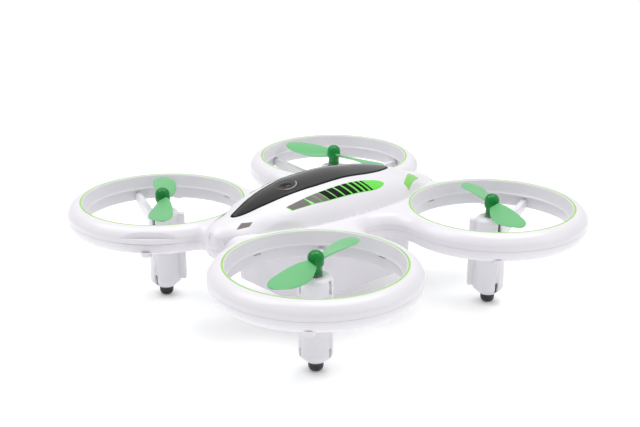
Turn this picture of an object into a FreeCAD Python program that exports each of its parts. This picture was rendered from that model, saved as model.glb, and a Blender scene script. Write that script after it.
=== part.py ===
import FreeCAD, Part

import math
import os

from FreeCAD import Vector

# Small indoor quadcopter with ring-shaped propeller guards.
# Millimetres, +Z up, nose towards -Y, origin on the ground below the centre.

# Driving dimensions
HALF_SPACING = 37.2      # centre of the craft to each motor axis, in X and in Y
LINE_R = 26.0            # radius of the light line round each guard
LINE_W = 0.6             # width of the light line
GUARD_R = 30.3           # largest radius of a guard
TOP_Z = 33.15            # height of the guards' top edge
SEAM_Z = TOP_Z - 4.6     # joint between the upper and lower mouldings
UNDER_Z = TOP_Z - 8.6    # underside of the guards
WALL = 1.2               # moulding thickness
GAP = 0.05               # assembly clearance between mouldings

DOME_Z = TOP_Z - 1.2     # bottom edge of the top cover
HOLLOW_DROP = 0.4        # how much thicker than WALL the cover is at its crest
WEB_X = 21.0             # narrowest half width between a front and a rear guard
WEB_BLEND_R = 7.8        # radius of that waist
WEB_END_X = 24.0

BELLY_X = 15.7           # half width of the battery housing
BELLY_FRONT = -23.9
BELLY_REAR = 23.4
BELLY_Z = TOP_Z - 24.7   # underside of the battery housing
BELLY_CORNER_R = 2.0

POD_R = 5.0              # motor housing under each propeller
POD_Z = 3.0
POD_TOP = TOP_Z - 4.0
SLOT_W = 1.2             # cooling slots in the motor housing
MOTOR_R = 3.5
MOTOR_H = 20.0
MOTOR_Z = 7.0
SHAFT_R = 0.5
SHAFT_RUN = 0.05         # radial running clearance of the shaft
FOOT_R = 2.3
SPOKE_W = 2.0
SPOKE_END_R = LINE_R - 0.03

HUB_R = 2.35
HUB_Z = TOP_Z - 3.3
HUB_TOP = TOP_Z + 3.4
PROP_R = 22.4
BLADE_Z = TOP_Z

BOARD_Z = TOP_Z - 6.6    # underside of the circuit board
BOARD_HALF = 13.0
DOOR_H = 1.2
DOOR_FIT = 0.15
SWITCH_X = -6.0          # power switch and charging port, in the rear wall of the housing
SWITCH_Z = TOP_Z - 14.0
SWITCH_TRAVEL = 2.0
SWITCH_CLEAR = 0.3
KNOB_W = 2.4
PORT_X = 5.0
PORT_W = 6.0
PORT_H = 2.6

# Top cover: distance along the craft, half width, height above the guard top
COVER = [
    (-45.6, 3.0, 0.3), (-42.0, 5.8, 2.4), (-36.0, 8.8, 3.9), (-29.0, 12.4, 6.3),
    (-21.0, 14.8, 8.4), (-12.0, 16.0, 9.8), (0.0, 16.6, 10.2), (12.0, 16.0, 9.1),
    (21.0, 15.2, 7.6), (29.0, 13.1, 5.5), (36.0, 9.4, 2.8), (41.0, 6.7, 0.8),
    (44.5, 4.4, -0.3),
]
NOSE_Y = -46.4
TAIL_Y = 46.8

# Corner name, X side, Y side, propeller rest angle, spin (+1 is anticlockwise from above)
CORNERS = [
    ("front_left", 1, -1, -73.0, -1),
    ("front_right", -1, -1, -34.5, 1),
    ("rear_left", 1, 1, -26.5, 1),
    ("rear_right", -1, 1, 7.0, -1),
]
SIDES = [("left", 1), ("right", -1)]


def save(shape, node):
    shape.exportStep("parts/" + node + ".step")
    print(node, "solids", len(shape.Solids), "valid", shape.isValid(), "volume", round(shape.Volume, 1))


def box(low, high):
    size = [b - a for a, b in zip(low, high)]
    return Part.makeBox(*size, Vector(*low))


def cylinder(radius, low_z, high_z, x=0.0, y=0.0):
    return Part.makeCylinder(radius, high_z - low_z, Vector(x, y, low_z))


def joined(shapes):
    return shapes[0].multiFuse(shapes[1:]).removeSplitter()


def turned(steps):
    """Solid of revolution about Z. A step is (r, z) for a line, or two points for an arc."""
    edges = []
    start = here = Vector(steps[0][0], 0, steps[0][1])
    for step in steps[1:] + [steps[0]]:
        if isinstance(step[0], tuple):
            middle, end = [Vector(r, 0, z) for r, z in step]
            edges.append(Part.Arc(here, middle, end).toShape())
        else:
            end = Vector(step[0], 0, step[1])
            edges.append(Part.LineSegment(here, end).toShape())
        here = end
    assert here == start
    face = Part.Face(Part.Wire(edges))
    return face.revolve(Vector(0, 0, 0), Vector(0, 0, 1), 360)


def placed(shape, x, y, angle=0.0):
    copy = shape.copy()
    copy.rotate(Vector(0, 0, 0), Vector(0, 0, 1), angle)
    copy.translate(Vector(x, y, 0))
    return copy


def prism(points, low_z, high_z):
    corners = [Vector(x, y, low_z) for x, y in points]
    face = Part.Face(Part.makePolygon(corners + corners[:1]))
    return face.extrude(Vector(0, 0, high_z - low_z))


def smooth_prism(points, low_z, high_z):
    curve = Part.BSplineCurve()
    curve.interpolate([Vector(x, y, low_z) for x, y in points], PeriodicFlag=True)
    face = Part.Face(Part.Wire(curve.toShape()))
    return face.extrude(Vector(0, 0, high_z - low_z))


def mirrored(points, side):
    return [(side * x, y) for x, y in points]


# Propeller guards -------------------------------------------------------------

SCREW_CIRCLE_R = 28.0
SCREW_ANGLES = (45, 135, 225, 315)
BOSS_R = 1.7
BOSS_Z = UNDER_Z - 0.5
SHANK_R = 0.6
HEAD_R = 1.0
HEAD_H = 0.8


def on_screw_circle(shape):
    return [placed(shape, *polar(SCREW_CIRCLE_R, angle)) for angle in SCREW_ANGLES]


def polar(radius, angle):
    return radius * math.cos(math.radians(angle)), radius * math.sin(math.radians(angle))


def guard_envelope(grow=0.0):
    """The guard's outer shape with no hollow, for cutting its neighbours."""
    return turned([
        (LINE_R + LINE_W / 2 + grow, TOP_Z + grow),
        ((GUARD_R - 1.15 + grow, TOP_Z - 1.25 + grow), (GUARD_R + grow, TOP_Z - 4.2)),
        (GUARD_R + grow, SEAM_Z),
        ((GUARD_R - 0.8 + grow, SEAM_Z - 2.3), (LINE_R + 1.5 + grow, UNDER_Z - grow)),
        (LINE_R - 1.4 - grow, UNDER_Z - grow),
        (LINE_R - 1.4 - grow, TOP_Z + grow),
    ])


def guard_upper():
    line_in, line_out = LINE_R - LINE_W / 2, LINE_R + LINE_W / 2
    shell = turned([
        (line_out, TOP_Z),
        ((GUARD_R - 1.15, TOP_Z - 1.25), (GUARD_R, TOP_Z - 4.2)),
        (GUARD_R, SEAM_Z),
        (GUARD_R - 1.0, SEAM_Z),
        ((GUARD_R - 1.9, TOP_Z - 2.2), (line_out, TOP_Z - WALL)),
        (LINE_R + 0.2, TOP_Z - WALL),
        (LINE_R + 0.2, SEAM_Z),
        (LINE_R - 1.4, SEAM_Z),
        (LINE_R - 1.4, SEAM_Z + 0.4),
        (LINE_R - 1.1, SEAM_Z + 0.8),
        (line_in - 0.3, TOP_Z),
        (line_in, TOP_Z),
        (line_in, TOP_Z - 0.5),
        (line_out, TOP_Z - 0.5),
    ])
    boss = cylinder(BOSS_R - 0.5, SEAM_Z, TOP_Z - 1.6)
    hole = cylinder(SHANK_R, SEAM_Z - 1, TOP_Z - 2.2)
    return joined([shell] + on_screw_circle(boss)).cut(Part.makeCompound(on_screw_circle(hole)))


def guard_lower():
    shell = turned([
        (GUARD_R, SEAM_Z),
        ((GUARD_R - 0.8, SEAM_Z - 2.3), (LINE_R + 1.5, UNDER_Z)),
        (LINE_R, UNDER_Z),
        (LINE_R, SEAM_Z),
        (LINE_R + 1.0, SEAM_Z),
        (LINE_R + 1.0, UNDER_Z + 1.0),
        (LINE_R + 1.6, UNDER_Z + 1.0),
        ((GUARD_R - 1.8, SEAM_Z - 2.0), (GUARD_R - 1.0, SEAM_Z)),
    ])
    boss = cylinder(BOSS_R, BOSS_Z, SEAM_Z)
    hole = cylinder(SHANK_R, BOSS_Z - 1, SEAM_Z + 1)
    recess = cylinder(HEAD_R + GAP, BOSS_Z - 1, BOSS_Z + HEAD_H)
    cuts = on_screw_circle(hole.fuse(recess))
    return joined([shell] + on_screw_circle(boss)).cut(Part.makeCompound(cuts))


def guard_screw():
    head = cylinder(HEAD_R, BOSS_Z + 0.05, BOSS_Z + HEAD_H)
    shank = cylinder(SHANK_R, BOSS_Z + HEAD_H, TOP_Z - 2.4)
    slot = box((-HEAD_R, -0.15, BOSS_Z), (HEAD_R, 0.15, BOSS_Z + 0.3))
    return head.fuse(shank).removeSplitter().cut(slot.fuse(placed(slot, 0, 0, 90)))


# Motor pods, motors and feet ----------------------------------------------------

def motor_pod(outward):
    """Motor housing with its cable duct and three spokes, centred on the motor axis."""
    shell = turned([
        (0.0, POD_Z), (POD_R - 2.4, POD_Z), (POD_R - 0.15, POD_Z + 2.0), (POD_R, POD_Z + 2.6),
        (POD_R, POD_TOP - 1.4),
        ((POD_R - 0.4, POD_TOP - 0.4), (POD_R - 1.4, POD_TOP)),
        (0.0, POD_TOP),
    ])
    duct = box((-POD_R - 1.8, -1.2, POD_Z + 2.8), (-POD_R + 1.0, 1.2, POD_TOP - 0.8))
    spoke_outline = [(POD_R - 0.8, POD_TOP - 6.0), (SPOKE_END_R, SEAM_Z - 0.8),
                     (SPOKE_END_R, UNDER_Z + 0.2), (POD_R - 0.8, POD_TOP - 12.0)]
    corners = [Vector(r, -SPOKE_W / 2, z) for r, z in spoke_outline]
    spoke = Part.Face(Part.makePolygon(corners + corners[:1])).extrude(Vector(0, SPOKE_W, 0))
    spokes = [placed(spoke, 0, 0, angle) for angle in (60, 180, 300)]
    pod = joined([shell, duct] + spokes)
    bore = cylinder(MOTOR_R + GAP, MOTOR_Z, MOTOR_Z + MOTOR_H + GAP)
    mouth = cylinder(HUB_R - 0.4, MOTOR_Z, POD_TOP + 1)
    stem_hole = cylinder(1.0, POD_Z - 1, POD_Z + 1.2)
    pod = pod.cut(bore.fuse(mouth).fuse(stem_hole))
    for angle in (75, 285):
        for low, high in ((POD_Z + 1.3, POD_Z + 4.9), (POD_TOP - 4.6, POD_TOP - 0.7)):
            slot = box((POD_R - 1.7, -SLOT_W / 2, low), (POD_R + 1, SLOT_W / 2, high))
            pod = pod.cut(placed(slot, 0, 0, angle))
    pod.rotate(Vector(0, 0, 0), Vector(0, 0, 1), outward)
    return pod


def motor():
    can = turned([
        (SHAFT_R + SHAFT_RUN, MOTOR_Z + 2.0), (SHAFT_R + SHAFT_RUN, MOTOR_Z + MOTOR_H + 0.8),
        (1.0, MOTOR_Z + MOTOR_H + 0.8), (1.0, MOTOR_Z + MOTOR_H),
        (MOTOR_R - 0.3, MOTOR_Z + MOTOR_H), (MOTOR_R, MOTOR_Z + MOTOR_H - 0.3),
        (MOTOR_R, MOTOR_Z + 0.3), (MOTOR_R - 0.3, MOTOR_Z),
        (0.0, MOTOR_Z), (0.0, MOTOR_Z + 2.0),
    ])
    return can


def foot():
    return turned([
        (0.0, 0.0), (0.9, 0.0),
        ((1.9, 0.6), (FOOT_R, 1.9)),
        (FOOT_R, POD_Z), (1.0, POD_Z), (1.0, POD_Z + 1.0), (0.0, POD_Z + 1.0),
    ])


# Propellers -----------------------------------------------------------------------

# Distance from the axis, chord, thickness, pitch in degrees, how far the section sits back
BLADE = [
    (1.2, 2.8, 1.2, 31.0, 0.0), (2.6, 3.8, 1.1, 29.0, 0.1), (5.0, 5.4, 1.0, 26.0, 0.3),
    (9.0, 7.1, 0.8, 20.0, 0.6), (13.0, 7.8, 0.7, 14.5, 0.7), (16.5, 7.9, 0.65, 9.5, 0.6),
    (19.0, 7.0, 0.6, 6.0, 0.4), (21.0, 5.0, 0.5, 3.0, 0.2), (PROP_R, 1.8, 0.4, 1.5, 0.0),
]


def blade():
    """One blade along +X of an anticlockwise propeller, with its leading edge raised."""
    sections = []
    for radius, chord, thickness, pitch, back in BLADE:
        across = Vector(0, math.cos(math.radians(pitch)), math.sin(math.radians(pitch)))
        upright = Vector(0, -math.sin(math.radians(pitch)), math.cos(math.radians(pitch)))
        corners = []
        for half_chord, half_thick in ((-1, 0), (-0.5, 1), (0.5, 1), (1, 0), (0.5, -1), (-0.5, -1)):
            offset = across * (half_chord * chord / 2 - back) + upright * (half_thick * thickness / 2)
            corners.append(Vector(radius, 0, BLADE_Z) + offset)
        sections.append(Part.makePolygon(corners + corners[:1]))
    return Part.makeLoft(sections, True, True)


def propeller(spin):
    hub = turned([
        (0.0, HUB_Z), (HUB_R - 0.4, HUB_Z), (HUB_R - 0.5, HUB_Z + 1.8), (HUB_R, HUB_Z + 2.6),
        (HUB_R, HUB_TOP - 1.2), ((HUB_R - 0.45, HUB_TOP - 0.4), (0.5, HUB_TOP)), (0.0, HUB_TOP),
    ])
    blades = [placed(blade(), 0, 0, angle) for angle in (0, 180)]
    bore = cylinder(SHAFT_R, HUB_Z - 1, TOP_Z + 1.0)
    whole = joined([hub] + blades).cut(bore)
    return whole if spin > 0 else whole.mirror(Vector(0, 0, 0), Vector(0, 1, 0))


def motor_shaft():
    return cylinder(SHAFT_R, MOTOR_Z + 3.0, TOP_Z + 1.0)


# Body mouldings ----------------------------------------------------------------------

def dome(grow):
    """Solid under the top cover's skin, with the skin moved outward by grow."""
    sections = []
    for y, half_width, height in COVER:
        width = half_width + grow
        rise = TOP_Z + height + grow - DOME_Z
        arch = [Vector(-width * math.cos(math.radians(step)), y,
                       DOME_Z + rise * math.sin(math.radians(step))) for step in range(0, 181, 15)]
        curve = Part.BSplineCurve()
        curve.interpolate(arch)
        base = Part.LineSegment(arch[-1], arch[0])
        sections.append(Part.Wire([curve.toShape(), base.toShape()]))
    return Part.makeLoft(sections, True, False)


def well(low_z, high_z, inset=0.0):
    """Stepped hollow that stays clear of the four guards."""
    steps = [(15.0, 14.0), (8.0, 24.0), (5.0, 40.0)]
    return joined([box((-x + inset, -y + inset, low_z), (x - inset, y - inset, high_z)) for x, y in steps])


def deck(low_z, high_z):
    """Plan of the centre frame: waisted web between the guards, with nose and tail."""
    web = box((-WEB_END_X, -30, low_z), (WEB_END_X, 30, high_z))
    half = [(0, NOSE_Y)] + [(width, y) for y, width, height in COVER] + [(0, TAIL_Y)]
    outline = half + [(-x, y) for x, y in reversed(half[1:-1])]
    frame = web.fuse(smooth_prism(outline, low_z, high_z))
    for name, side_x, side_y, angle, spin in CORNERS:
        clear = cylinder(GUARD_R + GAP, low_z - 1, high_z + 1, side_x * HALF_SPACING, side_y * HALF_SPACING)
        frame = frame.cut(clear)
    blend_x = WEB_X + WEB_BLEND_R
    for side in (-1, 1):
        frame = frame.cut(cylinder(WEB_BLEND_R, low_z - 1, high_z + 1, side * blend_x, 0))
    return frame.removeSplitter()


# Plan outlines of what is let into the top cover, on the left side
CANOPY = [(0.0, -38.0), (2.1, -35.1), (3.7, -29.9), (4.8, -24.7), (6.4, -14.3), (6.7, -3.9),
          (6.6, 6.5), (5.9, 16.9), (3.9, 22.1), (0.0, 26.5)]
PANEL = [(8.8, -24.1), (10.6, -23.0), (12.5, -9.6), (12.9, 1.3), (13.1, 7.6), (12.4, 12.5),
         (11.2, 14.4), (10.2, 12.9), (9.3, 6.8), (9.0, -2.2), (9.1, -11.5)]
HEADLIGHT = [(4.3, -37.0), (6.7, -35.3), (5.8, -39.6), (5.2, -40.2)]
TAIL_LIGHT = [(4.1, 33.5), (6.4, 35.8), (13.2, 23.9), (11.6, 23.4)]
SLAT_FIRST_Y = -22.2
SLAT_PITCH = 2.75
SLAT_WIDTH = (2.3, 2.3, 2.3, 2.2, 2.0, 1.8, 1.5, 1.2, 0.9, 0.7)
SLAT_RAKE = 2.4

LENS_Y = -17.0
BEZEL_R = 3.0
LENS_R = 1.9
INLAY_DEPTH = 0.7


def inlay(plan, low, high):
    """Piece of the cover's skin inside a plan outline, between two offsets of the skin."""
    return plan.common(dome(high)).cut(dome(low))


def canopy_plan():
    outline = CANOPY + [(-x, y) for x, y in reversed(CANOPY[1:-1])]
    return smooth_prism(outline, DOME_Z, TOP_Z + 20)


def slat_plan(side):
    """Raked bars that cross the side panel."""
    bars = []
    for index, width in enumerate(SLAT_WIDTH):
        y = SLAT_FIRST_Y + index * SLAT_PITCH
        corners = [(8.0, y - SLAT_RAKE), (14.0, y + SLAT_RAKE),
                   (14.0, y + SLAT_RAKE + width), (8.0, y - SLAT_RAKE + width)]
        bars.append(prism(mirrored(corners, side), DOME_Z, TOP_Z + 20))
    return Part.makeCompound(bars)


def build_body():
    guards = []
    for name, side_x, side_y, angle, spin in CORNERS:
        guards.append(placed(guard_envelope(GAP), side_x * HALF_SPACING, side_y * HALF_SPACING))
    guard_space = Part.makeCompound(guards)

    save(deck(SEAM_Z, DOME_Z).cut(well(SEAM_Z - 1, DOME_Z + 1)), "upper_frame")

    floor = deck(UNDER_Z, SEAM_Z).cut(well(UNDER_Z + WALL, SEAM_Z + 1))
    posts = [cylinder(1.0, UNDER_Z + WALL, BOARD_Z, x, y) for x in (-11, 11) for y in (-11, 11)]
    save(joined([floor] + posts), "lower_frame")

    hollow = dome(-WALL)
    hollow.translate(Vector(0, 0, -HOLLOW_DROP))
    cover = dome(0).cut(hollow.common(well(DOME_Z - 1, TOP_Z + 20))).cut(guard_space)
    recesses = [canopy_plan()]
    for side_name, side in SIDES:
        recesses.append(smooth_prism(mirrored(PANEL, side), DOME_Z, TOP_Z + 20))
        recesses.append(prism(mirrored(HEADLIGHT, side), DOME_Z, TOP_Z + 20))
        recesses.append(prism(mirrored(TAIL_LIGHT, side), DOME_Z, TOP_Z + 20))
    bed = dome(-INLAY_DEPTH)
    for recess in recesses:
        cover = cover.cut(recess.cut(bed))
    save(cover, "top_cover")

    lens_hole = cylinder(BEZEL_R, DOME_Z, TOP_Z + 20, 0, LENS_Y)
    save(inlay(canopy_plan(), -INLAY_DEPTH, 0.1).cut(lens_hole), "canopy_window")
    bezel = lens_hole.common(dome(0.25)).cut(dome(-INLAY_DEPTH))
    lens_seat = cylinder(LENS_R, DOME_Z, TOP_Z + 20, 0, LENS_Y)
    save(bezel.cut(lens_seat), "camera_bezel")
    save(lens_seat.common(dome(0.15)).cut(dome(-INLAY_DEPTH)), "camera_lens")

    for side_name, side in SIDES:
        panel = smooth_prism(mirrored(PANEL, side), DOME_Z, TOP_Z + 20)
        slats = slat_plan(side).common(panel)
        slat_skin = slats.common(dome(0.1)).cut(dome(-0.3))
        save(Part.makeCompound(slat_skin.Solids), "side_slats_" + side_name)
        save(inlay(panel, -INLAY_DEPTH, 0).cut(slats.cut(dome(-0.3))), "side_panel_" + side_name)
        for outline, node in ((HEADLIGHT, "headlight_"), (TAIL_LIGHT, "tail_light_")):
            plan = prism(mirrored(outline, side), DOME_Z, TOP_Z + 20)
            save(inlay(plan, -INLAY_DEPTH, 0.05).cut(guard_space), node + side_name)


# Battery housing and what it holds ---------------------------------------------------

def build_belly():
    inner = ((-BELLY_X + WALL, BELLY_FRONT + WALL), (BELLY_X - WALL, BELLY_REAR - WALL))
    housing = box((-BELLY_X, BELLY_FRONT, BELLY_Z), (BELLY_X, BELLY_REAR, UNDER_Z))
    upright = [edge for edge in housing.Edges if abs(edge.Vertexes[0].Z - edge.Vertexes[1].Z) > WALL]
    housing = housing.makeFillet(BELLY_CORNER_R, upright)
    housing = housing.cut(box(inner[0] + (BELLY_Z - 1,), inner[1] + (UNDER_Z - WALL,)))
    lugs = [box((-3, y, BELLY_Z + DOOR_H), (3, y + 3.0, BELLY_Z + 5))
            for y in (BELLY_FRONT + WALL, BELLY_REAR - WALL - 3.0)]
    housing = joined([housing] + lugs)
    for y in (BELLY_FRONT + WALL + 1.5, BELLY_REAR - WALL - 1.5):
        housing = housing.cut(cylinder(SHANK_R, BELLY_Z, BELLY_Z + 4.0, 0, y))

    slot_low = (SWITCH_X - KNOB_W / 2 - SWITCH_CLEAR, BELLY_REAR - 2, SWITCH_Z - 0.8)
    slot_high = (SWITCH_X + KNOB_W / 2 + SWITCH_TRAVEL + SWITCH_CLEAR, BELLY_REAR + 1, SWITCH_Z + 0.8)
    port_low = (PORT_X - PORT_W / 2, BELLY_REAR - 2, SWITCH_Z - PORT_H / 2)
    port_high = (PORT_X + PORT_W / 2, BELLY_REAR + 1, SWITCH_Z + PORT_H / 2)
    save(housing.cut(box(slot_low, slot_high)).cut(box(port_low, port_high)), "battery_housing")

    stem = box((SWITCH_X - KNOB_W / 2, BELLY_REAR - WALL - 0.6, SWITCH_Z - 0.5),
               (SWITCH_X + KNOB_W / 2, BELLY_REAR + 0.8, SWITCH_Z + 0.5))
    ribs = [box((SWITCH_X + offset - 0.2, BELLY_REAR + 0.5, SWITCH_Z - 1),
                (SWITCH_X + offset + 0.2, BELLY_REAR + 1, SWITCH_Z + 1)) for offset in (-0.6, 0.6)]
    for rib in ribs:
        stem = stem.cut(rib)
    save(stem, "power_switch_knob")
    body_front = BELLY_REAR - WALL - 4.0
    save(box((SWITCH_X - 3.5, body_front, SWITCH_Z - 1.8),
             (SWITCH_X + 5.5, BELLY_REAR - WALL - 0.9, SWITCH_Z + 1.8)), "power_switch_body")

    port = box((port_low[0], body_front, port_low[2]), (port_high[0], BELLY_REAR - 0.1, port_high[2]))
    socket = box((port_low[0] + 0.5, BELLY_REAR - 4.0, port_low[2] + 0.5),
                 (port_high[0] - 0.5, BELLY_REAR + 1, port_high[2] - 0.5))
    save(port.cut(socket), "charging_port")

    door = box((inner[0][0] + DOOR_FIT, inner[0][1] + DOOR_FIT, BELLY_Z),
               (inner[1][0] - DOOR_FIT, inner[1][1] - DOOR_FIT, BELLY_Z + DOOR_H))
    screws = []
    for y in (BELLY_FRONT + WALL + 1.5, BELLY_REAR - WALL - 1.5):
        door = door.cut(cylinder(SHANK_R, BELLY_Z - 1, BELLY_Z + 2, 0, y))
        door = door.cut(cylinder(HEAD_R + GAP, BELLY_Z - 1, BELLY_Z + 0.7, 0, y))
        shank = cylinder(SHANK_R, BELLY_Z + 0.7, BELLY_Z + 3.8, 0, y)
        screws.append(cylinder(HEAD_R, BELLY_Z + 0.1, BELLY_Z + 0.7, 0, y).fuse(shank).removeSplitter())
    save(door, "battery_door")
    save(Part.makeCompound(screws), "battery_door_screws")

    cell = box((-11, -19, BELLY_Z + 1.4), (11, 15, BELLY_Z + 9.4))
    long_edges = [edge for edge in cell.Edges if edge.Length > 30]
    save(cell.makeFillet(1.5, long_edges), "battery")

    board = box((-BOARD_HALF, -BOARD_HALF, BOARD_Z), (BOARD_HALF, BOARD_HALF, BOARD_Z + 1.0))
    save(board, "circuit_board")
    chips = [box((-4, -3, BOARD_Z + 1.0), (4, 5, BOARD_Z + 2.0)),
             box((6, -9, BOARD_Z + 1.0), (11, -5, BOARD_Z + 2.2)),
             box((-11, 4, BOARD_Z + 1.0), (-7, 10, BOARD_Z + 2.4))]
    save(Part.makeCompound(chips), "board_components")


def build_corners():
    upper, lower, screw = guard_upper(), guard_lower(), guard_screw()
    light = turned([
        (LINE_R - LINE_W / 2, TOP_Z - 0.5), (LINE_R + LINE_W / 2, TOP_Z - 0.5),
        (LINE_R + LINE_W / 2, TOP_Z), (LINE_R - LINE_W / 2, TOP_Z),
    ])
    screws = []
    for name, side_x, side_y, angle, spin in CORNERS:
        x, y = side_x * HALF_SPACING, side_y * HALF_SPACING
        outward = math.degrees(math.atan2(side_y, side_x))
        save(placed(upper, x, y), "guard_upper_" + name)
        save(placed(lower, x, y), "guard_lower_" + name)
        save(placed(light, x, y), "light_ring_" + name)
        save(placed(motor_pod(outward), x, y), "motor_pod_" + name)
        save(placed(motor(), x, y), "motor_" + name)
        save(placed(motor_shaft(), x, y), "motor_shaft_" + name)
        save(placed(foot(), x, y), "foot_" + name)
        save(placed(propeller(spin), x, y, angle), "propeller_" + name)
        screws += [placed(one, x, y) for one in on_screw_circle(screw)]
    save(Part.makeCompound(screws), "guard_screws")


build_body()
build_belly()
build_corners()
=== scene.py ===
import math

import bmesh
import bpy
import numpy as np
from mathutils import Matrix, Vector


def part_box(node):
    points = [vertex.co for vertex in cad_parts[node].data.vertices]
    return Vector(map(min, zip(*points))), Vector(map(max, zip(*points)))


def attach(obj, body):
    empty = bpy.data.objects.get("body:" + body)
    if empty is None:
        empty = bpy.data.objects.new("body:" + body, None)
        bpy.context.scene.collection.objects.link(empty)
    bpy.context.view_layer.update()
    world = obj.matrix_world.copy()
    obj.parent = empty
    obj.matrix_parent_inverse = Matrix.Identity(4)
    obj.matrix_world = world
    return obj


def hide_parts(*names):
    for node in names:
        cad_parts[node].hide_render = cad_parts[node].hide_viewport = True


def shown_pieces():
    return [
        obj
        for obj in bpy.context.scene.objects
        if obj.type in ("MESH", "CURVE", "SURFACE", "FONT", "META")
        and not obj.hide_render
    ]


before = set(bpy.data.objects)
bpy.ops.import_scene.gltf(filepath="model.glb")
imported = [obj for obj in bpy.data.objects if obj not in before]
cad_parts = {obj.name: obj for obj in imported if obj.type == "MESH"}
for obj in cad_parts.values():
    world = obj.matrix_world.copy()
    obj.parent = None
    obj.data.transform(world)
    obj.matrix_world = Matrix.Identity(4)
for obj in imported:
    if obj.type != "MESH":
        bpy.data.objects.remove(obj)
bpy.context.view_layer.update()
MM = 0.001

# ------------------------------------------------------------------ places taken from the CAD frame
# Lengths are millimetres in the row frame: +Z up, nose towards -Y. Heights in the body's formulas
# are counted from the guards' top edge.

CORNERS = ("front_left", "front_right", "rear_left", "rear_right")
SIDES = (("left", 1), ("right", -1))
SPIN = {"front_left": -1, "front_right": 1, "rear_left": 1, "rear_right": -1}
REST_ANGLE = {"front_left": -73.0, "front_right": -34.5, "rear_left": -26.5, "rear_right": 7.0}


def cad_box(node):
    """Lowest and highest corner of a CAD node, in millimetres."""
    low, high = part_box(node)
    return np.array(low) / MM, np.array(high) / MM


light_low, light_high = cad_box("light_ring_front_left")
shell_low, shell_high = cad_box("guard_upper_front_left")
frame_low, frame_high = cad_box("upper_frame")
POD_BOTTOM = cad_box("motor_pod_front_left")[0][2]
shaft_low, shaft_high = cad_box("motor_shaft_front_left")

HALF_SPACING = abs(shaft_low[0] + shaft_high[0]) / 2
CENTRE = {name: np.array([HALF_SPACING if "left" in name else -HALF_SPACING,
                          -HALF_SPACING if "front" in name else HALF_SPACING]) for name in CORNERS}
OUTWARD = {name: math.degrees(math.atan2(*CENTRE[name][::-1])) for name in CORNERS}
TOP_Z = light_high[2]
GUARD_R = (shell_high - shell_low)[0] / 2
SEAM = shell_low[2] - TOP_Z
UNDER = cad_box("lower_frame")[0][2] - TOP_Z
GROOVE_OUT_R = (light_high - light_low)[0] / 2
LINE_W = 0.6
GROOVE_IN_R = GROOVE_OUT_R - LINE_W
POD_R = 5.0
POD_TOP = TOP_Z - 4.0

# ------------------------------------------------------------------ the body's surface, as formulas

EDGE_ROLL, EDGE_DROP = 4.0, 4.2     # the top edge rolls over in a quarter ellipse
UNDER_ROLL = 3.3
WEB_X, WEB_BLEND_R = 21.0, 7.8      # waist between a front and a rear guard
TIP_R = 6.6                         # nose and tail in plan
NOTCH_R = 2.2                       # fillets between them and the guards
DOME_BASE, DOME_POWER = -1.2, 0.56
BLEND = 2.0                         # softness of the join between cover and guards
GROOVE_EASE = 1.6                   # the cover fades out over this distance from a light line
FAR = 99.0

# Distance along the craft, half width, height
COVER = np.array([
    (-46.2, 1.0, -1.0), (-45.6, 3.0, 0.3), (-42.0, 5.9, 2.5), (-36.0, 8.8, 3.9), (-29.0, 12.4, 6.3),
    (-21.0, 14.8, 8.4), (-12.0, 16.0, 9.8), (0.0, 16.6, 10.2), (12.0, 16.4, 9.1), (21.0, 15.4, 7.6),
    (29.0, 13.1, 5.5), (36.0, 9.4, 2.7), (41.0, 6.7, 0.9), (44.5, 4.6, -0.6), (46.6, 1.0, -1.8),
])


def smooth_curve(xs, ys):
    """Cubic through the points that never overshoots them, as a function of an array."""
    xs, ys = np.asarray(xs, float), np.asarray(ys, float)
    steps = np.diff(xs)
    slopes = np.diff(ys) / steps
    tangents = np.zeros_like(ys)
    tangents[0], tangents[-1] = slopes[0], slopes[-1]
    for i in range(1, len(xs) - 1):
        before, after = slopes[i - 1], slopes[i]
        if before * after > 0:
            near, far = 2 * steps[i] + steps[i - 1], steps[i] + 2 * steps[i - 1]
            tangents[i] = (near + far) / (near / before + far / after)

    def value(at):
        at = np.clip(np.asarray(at, float), xs[0], xs[-1])
        i = np.clip(np.searchsorted(xs, at) - 1, 0, len(xs) - 2)
        h = steps[i]
        t = (at - xs[i]) / h
        return ((1 + 2 * t) * (1 - t) ** 2 * ys[i] + t * (1 - t) ** 2 * h * tangents[i]
                + t * t * (3 - 2 * t) * ys[i + 1] + t * t * (t - 1) * h * tangents[i + 1])

    return value


cover_half_width = smooth_curve(COVER[:, 0], COVER[:, 1])
cover_height = smooth_curve(COVER[:, 0], COVER[:, 2])


def dome_height(x, y):
    """The top cover alone."""
    across = np.abs(x) / cover_half_width(y)
    inside = (y > COVER[0, 0]) & (y < COVER[-1, 0]) & (across < 1)
    rise = (cover_height(y) - DOME_BASE) * (1 - np.clip(across, 0, 1) ** 2) ** DOME_POWER
    return np.where(inside, DOME_BASE + rise, DOME_BASE - BLEND)


def blend_max(a, b, softness):
    """The larger of two heights, with a fillet where they cross."""
    gap = np.clip(softness - np.abs(a - b), 0, None) / softness
    return np.maximum(a, b) + gap ** 2 * softness / 4


def quarter_roll(distance, width, drop):
    """How far a quarter-ellipse edge has fallen, this far in from the plan outline."""
    return drop * (1 - np.sqrt(np.clip(1 - (1 - np.clip(distance / width, 0, 1)) ** 2, 0, 1)))


# Columns of the body's mesh, from the guard's outer side round by waist, middle, tip and notch
RING_COLUMNS = 230
WAIST_COLUMNS, ACROSS_COLUMNS, ALONG_COLUMNS, TIP_COLUMNS, NOTCH_COLUMNS = 14, 30, 70, 16, 8
TIP_FADE_COLUMNS = 20
# Where on the guard's circle each of those stretches starts, in degrees
ACROSS_START, ALONG_START, TIP_START, NOTCH_START = 231, 213, 181, 176


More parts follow.
